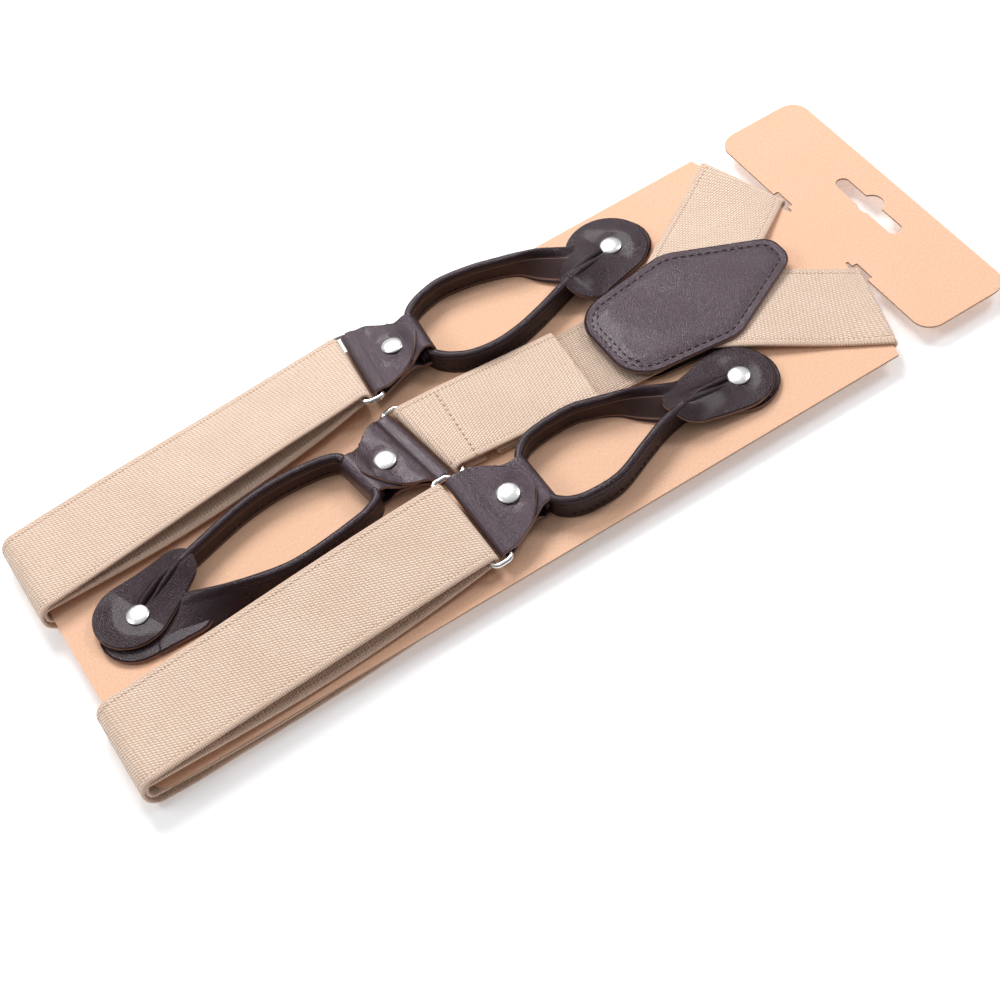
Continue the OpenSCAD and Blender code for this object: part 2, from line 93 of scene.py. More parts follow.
def curve(points, n=5):
    """Catmull-Rom curve through points."""
    p = np.asarray(points, float)
    out = []
    for i in range(len(p) - 1):
        a, b, c, d = p[max(i - 1, 0)], p[i], p[i + 1], p[min(i + 2, len(p) - 1)]
        for j in range(n):
            k = j / n
            out.append(0.5 * (2 * b + (c - a) * k + (2 * a - 5 * b + 4 * c - d) * k * k
                              + (3 * b - a - 3 * c + d) * k ** 3))
    return np.array(out + [p[-1]])


# ---------------------------------------------------------------- materials

def socket(tree, value, target):
    if isinstance(value, bpy.types.NodeSocket):
        tree.links.new(value, target)
    else:
        target.default_value = value


class Tree:
    """A short way to write shader nodes."""

    def __init__(self, name):
        self.mat = bpy.data.materials.new(name)
        self.mat.use_nodes = True
        self.tree = self.mat.node_tree
        self.shader = self.tree.nodes["Principled BSDF"]

    def add(self, kind, *inputs, out=0, **settings):
        n = self.tree.nodes.new("ShaderNode" + kind)
        for k, v in settings.items():
            setattr(n, k, v)
        for i, v in enumerate(inputs):
            if v is not None:
                socket(self.tree, v, n.inputs[i])
        return n.outputs[out]

    def math(self, op, a, b=0.0):
        return self.add("Math", a, b, operation=op)

    def plus(self, a, b):
        return self.math("ADD", a, b)

    def minus(self, a, b):
        return self.math("SUBTRACT", a, b)

    def times(self, a, b):
        return self.math("MULTIPLY", a, b)

    def wave(self, a, rate):
        """Humps along a, with a sharp dip between them."""
        return self.math("ABSOLUTE", self.math("SINE", self.times(a, rate)))

    def mix(self, factor, a, b):
        n = self.tree.nodes.new("ShaderNodeMix")
        n.data_type = "RGBA"
        socket(self.tree, factor, n.inputs["Factor"])
        for v, i in ((a, 6), (b, 7)):
            socket(self.tree, v if isinstance(v, bpy.types.NodeSocket) else (*v, 1.0)[:4], n.inputs[i])
        return n.outputs[2]

    def map(self, value, a, b, c, d):
        return self.add("MapRange", value, a, b, c, d)

    def noise(self, vector, scale, detail=2.0, rough=0.5):
        n = self.tree.nodes.new("ShaderNodeTexNoise")
        self.tree.links.new(vector, n.inputs["Vector"])
        n.inputs["Scale"].default_value = scale
        n.inputs["Detail"].default_value = detail
        n.inputs["Roughness"].default_value = rough
        return n.outputs[0]

    def bump(self, height, strength, distance):
        n = self.tree.nodes.new("ShaderNodeBump")
        n.inputs["Strength"].default_value = strength
        n.inputs["Distance"].default_value = distance
        socket(self.tree, height, n.inputs["Height"])
        return n.outputs[0]

    def set(self, **inputs):
        for k, v in inputs.items():
            s = self.shader.inputs[k.replace("_", " ")]
            if isinstance(v, tuple) and len(v) == 3 and s.type == "RGBA":
                v = (*v, 1.0)
            socket(self.tree, v, s)
        return self.mat


def weave_coords(t):
    """The weave attribute written by the mesh builders: across, along (both millimetres) and rim."""
    at = t.add("Attribute", attribute_name="weave", out=1)
    s = t.tree.nodes.new("ShaderNodeSeparateXYZ")
    t.tree.links.new(at, s.inputs[0])
    return at, s.outputs[0], s.outputs[1], s.outputs[2]


def webbing_material():
    t = Tree("elastic webbing")
    at, u, v, rim = weave_coords(t)
    wobble = t.times(t.minus(t.noise(at, 0.35, 1.0), 0.5), 0.5)
    # Diagonal rows of floats: q counts rows, p runs along a row
    q = t.plus(t.plus(t.times(u, 1.02), t.times(v, 0.44)), wobble)
    row = t.math("FLOOR", q)
    in_row = t.math("SINE", t.times(t.math("FRACT", q), pi))
    loose = t.times(t.minus(t.noise(at, 1.1, 2.0), 0.5), 0.9)
    p = t.minus(t.times(v, 0.64), t.times(u, 0.29))
    p = t.plus(t.plus(p, t.times(row, 0.37)), loose)
    in_float = t.math("SINE", t.times(t.math("FRACT", p), pi))
    float_h = t.math("POWER", t.times(in_row, t.math("POWER", in_float, 0.6)), 0.8)
    # Fine knit between the floats
    knit = t.times(t.math("SINE", t.times(u, 9.5)), t.math("SINE", t.times(v, 9.5)))
    edge = t.math("ABSOLUTE", u)
    dot_band = t.map(t.math("ABSOLUTE", t.minus(edge, 15.0)), 0.18, 0.42, 1.0, 0.0)
    dot = t.times(dot_band, t.math("POWER", t.wave(v, 2.35), 2.5))
    selvedge = t.map(edge, 16.0, 16.4, 0.0, 1.0)
    height = t.plus(t.times(float_h, t.minus(1.0, selvedge)), t.times(t.times(t.wave(v, 4.2), 0.5), selvedge))
    height = t.minus(height, t.times(dot, 0.5))
    height = t.plus(height, t.times(knit, 0.10))
    height = t.plus(height, t.times(t.noise(at, 3.2, 4.0, 0.65), 0.25))
    # Colour follows the weave's height: painted shade darkens the low grooves between the floats and the
    # knit.
    body = t.mix(t.map(height, 0.05, 0.95, 0.0, 1.0), (0.53, 0.335, 0.24), (0.96, 0.76, 0.61))
    tone = t.mix(t.map(t.noise(at, 0.06, 2.0), 0.35, 0.65, 0.0, 1.0), (0.965, 0.95, 0.935), (1.0, 1.0, 1.0))
    toned = t.tree.nodes.new("ShaderNodeMix")
    toned.data_type, toned.blend_type = "RGBA", "MULTIPLY"
    toned.inputs["Factor"].default_value = 1.0
    t.tree.links.new(body, toned.inputs[6])
    t.tree.links.new(tone, toned.inputs[7])
    colour = t.mix(t.times(dot, 0.18), toned.outputs[2], (0.40, 0.26, 0.19))
    # Where the webbing is stretched open, cords stand apart along its length, with painted shade darkening
    # the gaps between them.
    gap_depth_and_shade = t.times(t.minus(1.0, t.math("POWER", t.wave(u, 3.7), 0.6)), rim)
    colour = t.mix(t.times(gap_depth_and_shade, 0.85), colour, (0.20, 0.12, 0.085))
    height = t.minus(height, t.times(gap_depth_and_shade, 1.2))
    return t.set(Base_Color=colour, Roughness=0.85, Specular_IOR_Level=0.25, Sheen_Weight=0.25,
                 Sheen_Roughness=0.5, Normal=t.bump(height, 0.7, 0.00034))


def leather_material(name, colour, inner, gloss, shine):
    """Pebbled leather; the weave attribute's third value is 1 on cut edges and 2 on a thong's inner face,
    which gets the painted reflection of the kraft card.
    """
    t = Tree(name)
    rim = weave_coords(t)[3]
    obj = t.add("TexCoord", out=3)
    warp = t.tree.nodes.new("ShaderNodeVectorMath")
    warp.operation = "MULTIPLY_ADD"
    n = t.tree.nodes.new("ShaderNodeTexNoise")
    n.inputs["Scale"].default_value = 700
    t.tree.links.new(obj, n.inputs["Vector"])
    t.tree.links.new(n.outputs[1], warp.inputs[0])
    warp.inputs[1].default_value = (0.0006, 0.0006, 0.0006)
    t.tree.links.new(obj, warp.inputs[2])
    cells = t.tree.nodes.new("ShaderNodeTexVoronoi")
    cells.feature = "DISTANCE_TO_EDGE"
    cells.inputs["Scale"].default_value = 1500
    t.tree.links.new(warp.outputs[0], cells.inputs["Vector"])
    pebble = t.map(cells.outputs["Distance"], 0.0, 0.28, 0.0, 1.0)
    fine = t.noise(obj, 5200, 3.0, 0.6)
    broad = t.noise(obj, 120, 3.0, 0.55)
    height = t.plus(t.times(pebble, 0.6), t.times(fine, 0.5))
    cut = t.map(rim, 0.35, 1.0, 0.0, 1.0)
    # Painted reflection of the kraft card on the thongs' inner faces, in the inner colour.
    painted_card_reflection = t.map(rim, 1.2, 1.8, 0.0, 1.0)

    def shade(k):
        return tuple(c * k for c in colour)

    base = t.mix(broad, shade(0.80), shade(1.25))
    # Painted shade darkens the creases between the pebbles.
    base = t.mix(t.times(t.minus(1.0, pebble), 0.35), base, shade(0.5))
    base = t.mix(t.times(cut, t.map(fine, 0.3, 0.7, 0.55, 1.0)), base, (0.310, 0.175, 0.130))
    base = t.mix(painted_card_reflection, base, inner)
    rough = t.plus(t.map(broad, 0.3, 0.7, gloss - 0.05, gloss + 0.08), t.times(cut, 0.3))
    return t.set(Base_Color=base, Roughness=rough, Specular_IOR_Level=shine, Coat_Weight=0.13,
                 Specular_Tint=(1.0, 0.80, 0.93), Coat_Roughness=0.16, Normal=t.bump(height, 0.6, 0.00022))


def card_material():
    t = Tree("kraft card")
    obj = t.add("TexCoord", out=3)
    m = t.tree.nodes.new("ShaderNodeMapping")
    m.inputs["Scale"].default_value = (1.0, 0.45, 1.0)
    t.tree.links.new(obj, m.inputs[0])
    fibre = t.noise(m.outputs[0], 1900, 4.0, 0.7)
    speck = t.noise(obj, 3800, 2.0, 0.5)
    broad = t.noise(obj, 28, 3.0, 0.5)
    a = t.mix(t.map(fibre, 0.32, 0.68, 0.0, 1.0), (0.78, 0.462, 0.305), (0.93, 0.60, 0.42))
    b = t.mix(t.map(speck, 0.62, 0.74, 0.0, 0.5), a, (0.55, 0.30, 0.17))
    c = t.mix(t.map(broad, 0.35, 0.65, 0.0, 0.25), b, (0.85, 0.50, 0.30))
    # Faces turned sideways, the card's cut edges, are darkened with painted shade.
    nrm = t.tree.nodes.new("ShaderNodeNewGeometry").outputs[1]
    s = t.tree.nodes.new("ShaderNodeSeparateXYZ")
    t.tree.links.new(nrm, s.inputs[0])
    edge = t.map(t.math("ABSOLUTE", s.outputs[2]), 0.3, 0.7, 1.0, 0.0)
    col = t.mix(edge, c, (0.36, 0.235, 0.165))
    h = t.plus(fibre, t.times(speck, 0.5))
    return t.set(Base_Color=col, Roughness=0.82, Specular_IOR_Level=0.3, Normal=t.bump(h, 0.25, 0.00012))


def metal_material(name, colour, rough, dents):
    t = Tree(name)
    obj = t.add("TexCoord", out=3)
    n = t.noise(obj, 420, 2.0)
    fine = t.noise(obj, 6000, 2.0)
    r = t.map(fine, 0.3, 0.7, rough * 0.8, rough * 1.3)
    c = t.mix(t.map(n, 0.3, 0.7, 0.0, 1.0), colour, tuple(x * 0.93 for x in colour))
    return t.set(Base_Color=c, Metallic=1.0, Roughness=r, Normal=t.bump(n, dents, 0.0006))


def thread_material(name, colour):
    t = Tree(name)
    obj = t.add("TexCoord", out=3)
    twist = t.noise(obj, 3500, 2.0)
    c = t.mix(twist, tuple(x * 0.7 for x in colour), tuple(x * 1.2 for x in colour))
    return t.set(Base_Color=c, Roughness=0.7, Normal=t.bump(twist, 0.5, 0.0002))


WEBBING = webbing_material()
# The second colour of each leather is the painted reflection of the kraft card on a thong's inner face.
LEATHER = leather_material("dark brown leather", (0.030, 0.015, 0.019), (0.045, 0.023, 0.017), 0.33, 0.68)
THONG_LEATHER = leather_material("thong leather", (0.019, 0.009, 0.010), (0.040, 0.020, 0.014), 0.30, 0.34)
CARD = card_material()
CAPS = metal_material("bright nickel caps", (0.93, 0.92, 0.90), 0.27, 0.16)
WIRE = metal_material("bright ring wire", (0.86, 0.85, 0.83), 0.14, 0.03)
STAMPING = metal_material("nickel stamping", (0.70, 0.69, 0.67), 0.28, 0.08)
DARK_THREAD = thread_material("dark thread", (0.022, 0.012, 0.012))
PALE_THREAD = thread_material("pale thread", (0.80, 0.66, 0.46))


# ---------------------------------------------------------------- mesh builders

def piece(name, verts, faces, body, mat, weave=None, replaces=()):
    """A smooth-shaded mesh from millimetre points, riding on a body."""
    me = bpy.data.meshes.new(name)
    me.from_pydata(((np.asarray(verts) + STAND) * 0.001).tolist(), [], [list(map(int, f)) for f in faces])
    me.validate()
    me.shade_smooth()
    if weave is not None:
        a = me.attributes.new("weave", "FLOAT_VECTOR", "POINT")
        a.data.foreach_set("vector", np.asarray(weave, np.float32).ravel())
    me.materials.append(mat)
    ob = bpy.data.objects.new(name, me)
    bpy.context.scene.collection.objects.link(ob)
    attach(ob, body)
    if replaces:
        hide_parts(*replaces)
    return ob


class Parts:
    """Collects several shells into one mesh."""

    def __init__(self):
        self.v, self.f, self.w = [], [], []
        self.n = 0

    def add(self, shell):
        v, f, w = shell
        self.v.append(np.asarray(v, float))
        self.w.append(np.asarray(w, float))
        self.f += [[i + self.n for i in face] for face in f]
        self.n += len(v)
        return self

    def build(self, name, body, slot, mat, replaces=()):
        return piece(name, np.vstack(self.v), self.f, body, mat, np.vstack(self.w), replaces)


def grid_faces(n, m, flip=False):
    """Quads of n rings of m points."""
    out = []
    for i in range(n - 1):
        for j in range(m):
            k = (j + 1) % m
            f = [i * m + j, i * m + k, (i + 1) * m + k, (i + 1) * m + j]
            out.append(f[::-1] if flip else f)
    return out


def end_caps(n, m, flip=False):
    """The two end faces of n rings of m points."""
    caps = [list(range(m))[::-1], [(n - 1) * m + j for j in range(m)]]
    return [f[::-1] for f in caps] if flip else caps


def normals_of(c, w):
    """Each station's normal: along the path's direction crossed with its width."""
    t = np.gradient(c, axis=0)
    n = np.cross(t, w)
    return n / np.linalg.norm(n, axis=1)[:, None]


def sweep(c, w, profile, rim):
    """Sweeps a profile of [fraction of the width, height along the normal] along c; rim has one value
    for each station."""
    n = normals_of(c, w)
    run, m = run_of(c), len(profile)
    v, att = [], []
    for i in range(len(c)):
        v.append(c[i] + profile[:, :1] * w[i] + profile[:, 1:] * n[i])
        across = profile[:, 0] * np.linalg.norm(w[i])
        att.append(np.stack([across, np.full(m, run[i]), np.full(m, rim[i])], 1))
    return np.vstack(v), grid_faces(len(c), m) + end_caps(len(c), m), np.vstack(att)


def webbing_profile():
    """The webbing's section, from its rounded edge past the thinner row of stitches to its middle."""
    half = [(17.5, 0.0), (17.42, 0.30), (17.15, 0.50), (16.6, 0.62), (15.6, 0.63), (15.0, 0.58),
            (14.6, 0.54), (14.2, 0.60), (13.4, 0.65), (9.0, 0.65), (4.5, 0.65), (0.0, 0.65)]
    top = half + [(-y, z) for y, z in half[-2::-1]]
    return np.array(top + [(y, -z) for y, z in top[-2:0:-1]]) / [STRAP_W, 1.0]


def dense(stations, step=1.6):
    """Resamples the stations that aren't part of a tight fold, then smooths them."""
    c, w, keep = ([a[k] for a in stations] for k in range(3))
    cc, ww, kk = [c[0]], [w[0]], [keep[0]]
    for i in range(len(c) - 1):
        n = max(1, int(np.ceil(np.linalg.norm(c[i + 1] - c[i]) / step)))
        if keep[i] and keep[i + 1]:
            n = 1
        for j in range(1, n + 1):
            cc.append(lerp(c[i], c[i + 1], j / n))
            ww.append(lerp(w[i], w[i + 1], j / n))
            kk.append(keep[i + 1] if j == n else False)
    c, w, free = np.array(cc), np.array(ww), ~np.array(kk)
    free[0] = free[-1] = False
    for _ in range(24):
        for a in (c, w):
            b = a.copy()
            b[1:-1] = (a[:-2] + 2 * a[1:-1] + a[2:]) / 4
            a[free] = b[free]
    return c, w


# ---------------------------------------------------------------- webbing routes

def turn(axis, x_dir, z_dir, rx, rz, a0, a1, w, n):
    """Stations of a fold round an axis, from angle a0 to a1."""
    out = []
    for a in np.radians(np.linspace(a0, a1, n + 1)):
        out.append((axis + x_dir * rx * cos(a) + z_dir * rz * sin(a), w, True))
    return out


def end_w(end):
    """Direction across the webbing at a strap's end."""
    return side(end[1]) * cos(end[2]) + Z * sin(end[2])


def front_station(end, fold_y, z0, dz, k, bulge, drift):
    """A station k of the way from the bottom fold to the ring bar, bulging up and drifting sideways."""
    at = lerp(np.array([BEND_X, fold_y, z0]), end[0] + Z * dz, k)
    lean = atan2(end[0][1] - fold_y, end[0][0] - BEND_X)
    roll = end[2] * ease(k * 1.2)
    yaw = lerp(lerp(0, lean, ease(k * 5)), end[1], ease((k - 0.8) * 5))
    w = (side(yaw) * cos(roll) + Z * sin(roll)) * STRAP_W
    at[2] = lerp(z0, end[0][2] + dz, ease(k)) + bulge * sin(pi * k)
    at[1] += drift * sin(pi * k)
    return at, w, False


def back_y(sgn, fold_y, x):
    """Middle of the webbing behind the card, from the bottom fold to the adjuster."""
    y = lerp(fold_y, sgn * ADJUSTER_Y, ease(x / ADJUSTER_X))
    if x < ADJUSTER_X:
        y += min(0, fold_y + BOW_Y) * 1.3 * sin(pi * x / ADJUSTER_X)
    return y


def side_strap_route(sgn, end, fold_y, sag, drift):
    """Stations from the shoulder fold to the tail: (middle, width vector, part of a fold)."""
    w = side(sgn * ARM_ANGLE) * STRAP_W
    fold_w = flat(sgn * radians(107.5)) * STRAP_W / cos(ARM_ANGLE / 2) * sgn
    edge_mid = np.array([SHOULDER_X, sgn * SHOULDER_Y, -0.35])
    meet = np.array([SHOULDER_X - (SHOULDER_Y - 0.1) / tan(ARM_ANGLE), sgn * 0.1, PATCH_ARM_Z])
    s = []
    for k in np.linspace(0.30, 0.86, 12):
        p = lerp(meet, edge_mid, k)
        p[2] = lerp(PATCH_ARM_Z, ARM_Z, ease((k - 0.3) * 1.6))
        s.append((p, w, False))
    s += turn(edge_mid, flat(sgn * ARM_ANGLE / 2), Z, 1.1, 1.1, 90, -90, fold_w, 14)
    y = np.array([0, STRAP_W, 0])

    def behind(x, z, middle=None):
        return np.array([x, back_y(sgn, fold_y, x) if middle is None else sgn * middle, z]), y, False

    s += [behind(270, UNDER_Z, 38.4), behind(252, UNDER_Z - 0.2, 38.6), behind(228, BACK_RUN_Z, ADJUSTER_Y)]
    s += [behind(x, BACK_RUN_Z) for x in np.arange(190, 29, -8)]
    s += [behind(12, BACK_OUT_Z + 0.15)]
    mid = (FRONT_TOP_Z + BACK_OUT_Z) / 2
    s += turn(np.array([BEND_X, fold_y, mid]), flat(0), Z, BEND_OUT_RX, FRONT_TOP_Z - mid, 270, 90, y, 28)
    ks = np.linspace(0.06, 0.97, 36)
    s += [front_station(end, fold_y, FRONT_TOP_Z, STRAP_TURN_R, k, 0.5, 0) for k in ks]
    x, across = flat(end[1]), end_w(end)
    s += turn(end[0], x, np.cross(x, across), STRAP_TURN_R + RING_SLACK, STRAP_TURN_R, 90, -90,
              across * STRAP_W, 16)
    s += [front_station(end, fold_y, FRONT_LOW_Z, -STRAP_TURN_R, k, sag, drift) for k in ks[::-1]]
    rz = (FRONT_LOW_Z - BACK_IN_Z) / 2
    s += turn(np.array([BEND_IN_X, fold_y, FRONT_LOW_Z - rz]), flat(0), Z, BEND_IN_RX, rz, 90, 270, y, 20)
    s += [behind(x, BACK_IN_Z) for x in (20, 45, 70, 95, 120)]
    return s + [behind(TAIL_END_X, BACK_IN_Z, ADJUSTER_Y)]


def side_strap(name, sgn, fold_y, sag, drift):
    c, w = dense(side_strap_route(sgn, ENDS[name], fold_y, sag, drift))
    prof = webbing_profile()
    m = len(prof)
    v, _, att = sweep(c, w, prof, np.zeros(len(c)))
    # Root of the arm, mitred along the card's middle line and cut off square under the patch
    start = v[:m]
    back = np.minimum((start[:, 1] * sgn - 0.1) / sin(ARM_ANGLE), (start[:, 0] - 207.0) / cos(ARM_ANGLE))
    back = np.maximum(back, 0.0)
    root = start - back[:, None] * flat(sgn * ARM_ANGLE)
    root_att = np.column_stack([att[:m, 0], -back, 0 * back])
    steps = 14
    v = np.vstack([lerp(root, start, i / steps) for i in range(steps)] + [v])
    att = np.vstack([lerp(root_att, att[:m], i / steps) for i in range(steps)] + [att])
    rings = steps + len(c)
    faces = grid_faces(rings, m) + end_caps(rings, m)
    ob = piece(name + "_webbing", v, faces, "folded_set", WEBBING, att, [name + "_strap"])


def centre_strap():
    end = ENDS["centre"]
    wdir = side(CENTRE_LEAN) * STRAP_W

    def at(x, z):
        return np.array([x, end[0][1] + (x - end[0][0]) * tan(CENTRE_LEAN), z])

    low, mid, top, fold_r = 0.85, 2.35, 3.85, 0.75
    x = flat(CENTRE_LEAN)
    s = [(at(*p), wdir, False) for p in ((221, 2.05), (201, 2.0), (193, low), (175, low))]
    s += turn(at(153, (low + mid) / 2), x, Z, fold_r, fold_r, 270, 90, wdir, 10)
    s += turn(at(189, (mid + top) / 2), x, Z, fold_r, fold_r, -90, 90, wdir, 10)
    s += [(at(165, top + 0.3), wdir, False), (at(148, end[0][2] + STRAP_TURN_R), wdir, False)]
    s += turn(end[0], -flat(end[1]), Z, STRAP_TURN_R + RING_SLACK, STRAP_TURN_R, 90, 270,
              -side(end[1]) * STRAP_W, 16)
    s += [(at(147.5, end[0][2] - STRAP_TURN_R), wdir, False)]
    c, w = dense(s)
    # The layer next to the patch is stretched open; the webbing shader gives its cord gaps painted shade.
    open_cords = ease((c[:, 0] - 188) / 4) * (c[:, 2] < 2.9)
    v, f, att = sweep(c, w, webbing_profile(), open_cords)
    ob = piece("centre_webbing", v, f, "folded_set", WEBBING, att, ["centre_strap"])


# ---------------------------------------------------------------- leather shells

def slab(grid, thickness, wrap=False, weave=None, pole=False):
    """A solid sheet about the centre surface grid (n, m, 3), with rounded cut edges.
    wrap closes it across; pole says that row 0 is a single point repeated."""
    g = np.asarray(grid, float)
    n, m = g.shape[:2]
    if wrap:
        ext = np.concatenate([g[:, -1:], g, g[:, :1]], 1)
        du = np.gradient(g, axis=0)
        dv = (ext[:, 2:] - ext[:, :-2]) / 2
    else:
        du, dv = np.gradient(g, axis=0), np.gradient(g, axis=1)
    nor = np.cross(du, dv)
    ln = np.linalg.norm(nor, axis=2)
    if pole:
        nor[0] = nor[1].mean(0)
        ln[0] = np.linalg.norm(nor[0][0])
    nor /= np.maximum(ln, 1e-9)[..., None]
    h = thickness / 2
    if weave is None:
        weave = np.zeros((n, m, 2))
    att = np.concatenate([weave, np.zeros((n, m, 1))], 2)
    v, f, a = [], [], []

    def put(points, at):
        start = sum(len(x) for x in v)
        v.append(points)
        a.append(at)
        return start

    if wrap:
        border = [(n - 1, j) for j in range(m)]
    else:
        border = ([(0, j) for j in range(m)] + [(i, m - 1) for i in range(1, n)]
                  + [(n - 1, j) for j in range(m - 2, -1, -1)] + [(i, 0) for i in range(n - 2, 0, -1)])
    bp = np.array([g[i, j] for i, j in border])
    bn = np.array([nor[i, j] for i, j in border])
    bt = np.roll(bp, -1, 0) - np.roll(bp, 1, 0)
    out = np.cross(bt, bn)
    out /= np.maximum(np.linalg.norm(out, axis=1), 1e-9)[:, None]
    if wrap:
        inward = np.array([g[n - 2, j] for j in range(m)]) - bp
    else:
        inward = g.reshape(-1, 3).mean(0) - bp
    if (out * inward).sum() > 0:
        out = -out
    top, bot = g + nor * h, g - nor * h
    for k, (i, j) in enumerate(border):
        top[i, j] -= out[k] * 0.28 * thickness
        bot[i, j] -= out[k] * 0.28 * thickness

    def rows_of(q):
        return np.vstack([q[0, :1], q[1:].reshape(-1, 3)]) if pole else q.reshape(-1, 3)

    t0, b0 = put(rows_of(top), rows_of(att)), put(rows_of(bot), rows_of(att))

    def idx(start, i, j):
        if not pole:
            return start + i * m + j % m
        return start if i == 0 else start + 1 + (i - 1) * m + j % m

    for i in range(n - 1):
        for j in range(m if wrap else m - 1):
            q = [idx(t0, i, j), idx(t0, i + 1, j), idx(t0, i + 1, j + 1), idx(t0, i, j + 1)]
            b = [idx(b0, i, j), idx(b0, i, j + 1), idx(b0, i + 1, j + 1), idx(b0, i + 1, j)]
            if pole and i == 0:
                q = [q[0], q[1], q[2]]
                b = [b[0], b[2], b[3]]
            f += [q, b]
    # Three rings round the cut edge: (inset, height, rim value)
    starts = []
    for inset, up, rim in ((0.09, 0.78, 0.8), (0.0, 0.0, 1.0), (0.09, -0.78, 0.8)):
        edge_att = np.array([att[i, j] for i, j in border])
        edge_att[:, 2] = rim
        starts.append(put(bp - out * inset * thickness + bn * up * h, edge_att))
    nb = len(border)
    chain = [[idx(t0, i, j) for i, j in border]] + [[s + k for k in range(nb)] for s in starts] \
        + [[idx(b0, i, j) for i, j in border]]
    for a0, a1 in zip(chain[:-1], chain[1:]):
        for k in range(nb):
            l = (k + 1) % nb
            f.append([a0[k], a0[l], a1[l], a1[k]])
    return np.vstack(v), f, np.vstack(a)


def outline(corners, per=10, inset=0.0):
    """Points round a convex row of circles [(x, y), r] joined by tangents, anticlockwise."""
    k = len(corners)

    def heading(i):
        (a, ra), (b, rb) = corners[i % k], corners[(i + 1) % k]
        dx, dy = b[0] - a[0], b[1] - a[1]
        return atan2(dy, dx) - pi / 2 + asin((ra - rb) / sqrt(dx * dx + dy * dy))

    out = []
    for i in range(k):
        a0, a1 = heading(i - 1), heading(i)
        s = (a1 - a0) % (2 * pi)
        c, r = corners[i]
        for j in range(per + 1):
            a = a0 + s * j / per
            out.append((c[0] + (r - inset) * cos(a), c[1] + (r - inset) * sin(a)))
    return np.array(out)


def resample(loop, n):
    """n points evenly along a closed loop."""
    p = np.vstack([loop, loop[:1]])
    run = run_of(p)
    t = np.linspace(0, run[-1], n, endpoint=False)
    return np.stack([np.interp(t, run, p[:, k]) for k in range(p.shape[1])], 1)


def disc(loop, centre, height, thickness, rings=16, power=0.8):
    """A slab filling a closed outline, ring by ring from centre; height(x, y) gives its middle."""
    loop = np.asarray(loop)
    rows = []
    for k in np.linspace(0, 1, rings + 1) ** power:
        p = centre + (loop - centre) * k
        rows.append(np.column_stack([p, height(p[:, 0], p[:, 1])]))
    g = np.array(rows)
    return slab(g, thickness, wrap=True, pole=True)


PATCH_CORNERS = [((213.5, -7), 13.4), ((238, -10.5), 13), ((267.3, -1.6), 7.2),
                 ((267.3, 1.6), 7.2), ((238, 10.5), 13), ((213.5, 7), 13.4)]
PATCH_Z, PATCH_T = PATCH_ARM_Z + STRAP_T / 2 + 0.1, 1.3


def edge_distance(loop, x, y):
    """Distance of points to a closed polyline."""
    a = loop
    b = np.roll(loop, -1, 0)
    p = np.stack([x, y], -1)[:, None, :]
    ab = b - a
    t = np.clip(((p - a) * ab).sum(-1) / np.maximum((ab * ab).sum(-1), 1e-9), 0, 1)
    return np.sqrt((((a + ab * t[..., None]) - p) ** 2).sum(-1)).min(1)


def stitch_shell(p, d, n, length=1.9, r=0.24, lift=0.05):
    """One thread stitch: a short tube that dips into the leather at both ends."""
    d, n = unit(d), unit(n)
    b = np.cross(d, n)
    ks = np.linspace(-1, 1, 9)
    v = []
    for k in ks:
        c = p + d * k * length / 2 + n * (lift + 0.16 - 0.34 * k ** 4)
        rr = r * (1 - 0.25 * abs(k) ** 3)
        for a in np.linspace(0, 2 * pi, 8, endpoint=False):
            v.append(c + (b * cos(a) + n * sin(a)) * rr)
    f = grid_faces(len(ks), 8, flip=True) + end_caps(len(ks), 8, flip=True)
    return np.array(v), f, np.zeros((len(v), 3))


def patch():
    loop = resample(outline(PATCH_CORNERS, 14), 168)
    middle = np.array([240.0, 0.0])

    def top(x, y):
        """The patch's middle surface: domed, dented along the stitches, with a slow ripple."""
        d = edge_distance(loop, x, y)
        z = PATCH_Z + PATCH_T / 2 + 0.55 * ease((d - 2.6) / 5.0)
        z -= 0.28 * np.exp(-((d - 3.0) / 0.7) ** 2)
        return z + 0.18 * np.sin(x * 0.21 + y * 0.13) * ease((d - 4) / 6)

    Parts().add(disc(loop, middle, top, PATCH_T, rings=30, power=0.9)).build(
        "patch_leather", "folded_set", "leather", LEATHER, ["back_patch"])
    under = resample(outline(PATCH_CORNERS, 10, 1.0), 120)
    Parts().add(disc(under, middle, lambda x, y: 0.675 + 0 * x, 1.1, rings=10)).build(
        "patch_lining", "folded_set", "leather", LEATHER, ["patch_backing"])
    thread = Parts()
    # A row all round, and a second one inside it along the square end
    for inset, count, all_round, length, r in ((3.0, 62, True, 1.9, 0.26), (4.7, 58, False, 1.7, 0.24)):
        row = resample(outline(PATCH_CORNERS, 14, inset), count)
        for i, p in enumerate(row):
            if not all_round and (p[0] > 212 or abs(p[1]) > 13):
                continue
            d = row[(i + 1) % count] - row[i - 1]
            z = top(p[:1], p[1:])[0] + PATCH_T / 2
            thread.add(stitch_shell(np.array([*p, z]), np.array([*d, 0]), Z, length, r, -0.02))
    thread.build("patch_sewing", "folded_set", "patch_thread", DARK_THREAD, ["patch_stitching"])


def centre_sewing():
    z = ENDS["centre"][0][2] + STRAP_TURN_R + STRAP_T / 2 + 0.22
    thread = Parts()
    for k in np.arange(-16, 16.1, 2.5):
        p = np.array([144.6 - k * sin(CENTRE_LEAN), 4.2 + k * cos(CENTRE_LEAN), z])
        thread.add(stitch_shell(p, side(CENTRE_LEAN), Z, 1.7, 0.27, 0.0))
    thread.build("centre_sewing", "folded_set", "strap_thread", PALE_THREAD, ["centre_stitching"])


# ---------------------------------------------------------------- tabs, rings and rivets

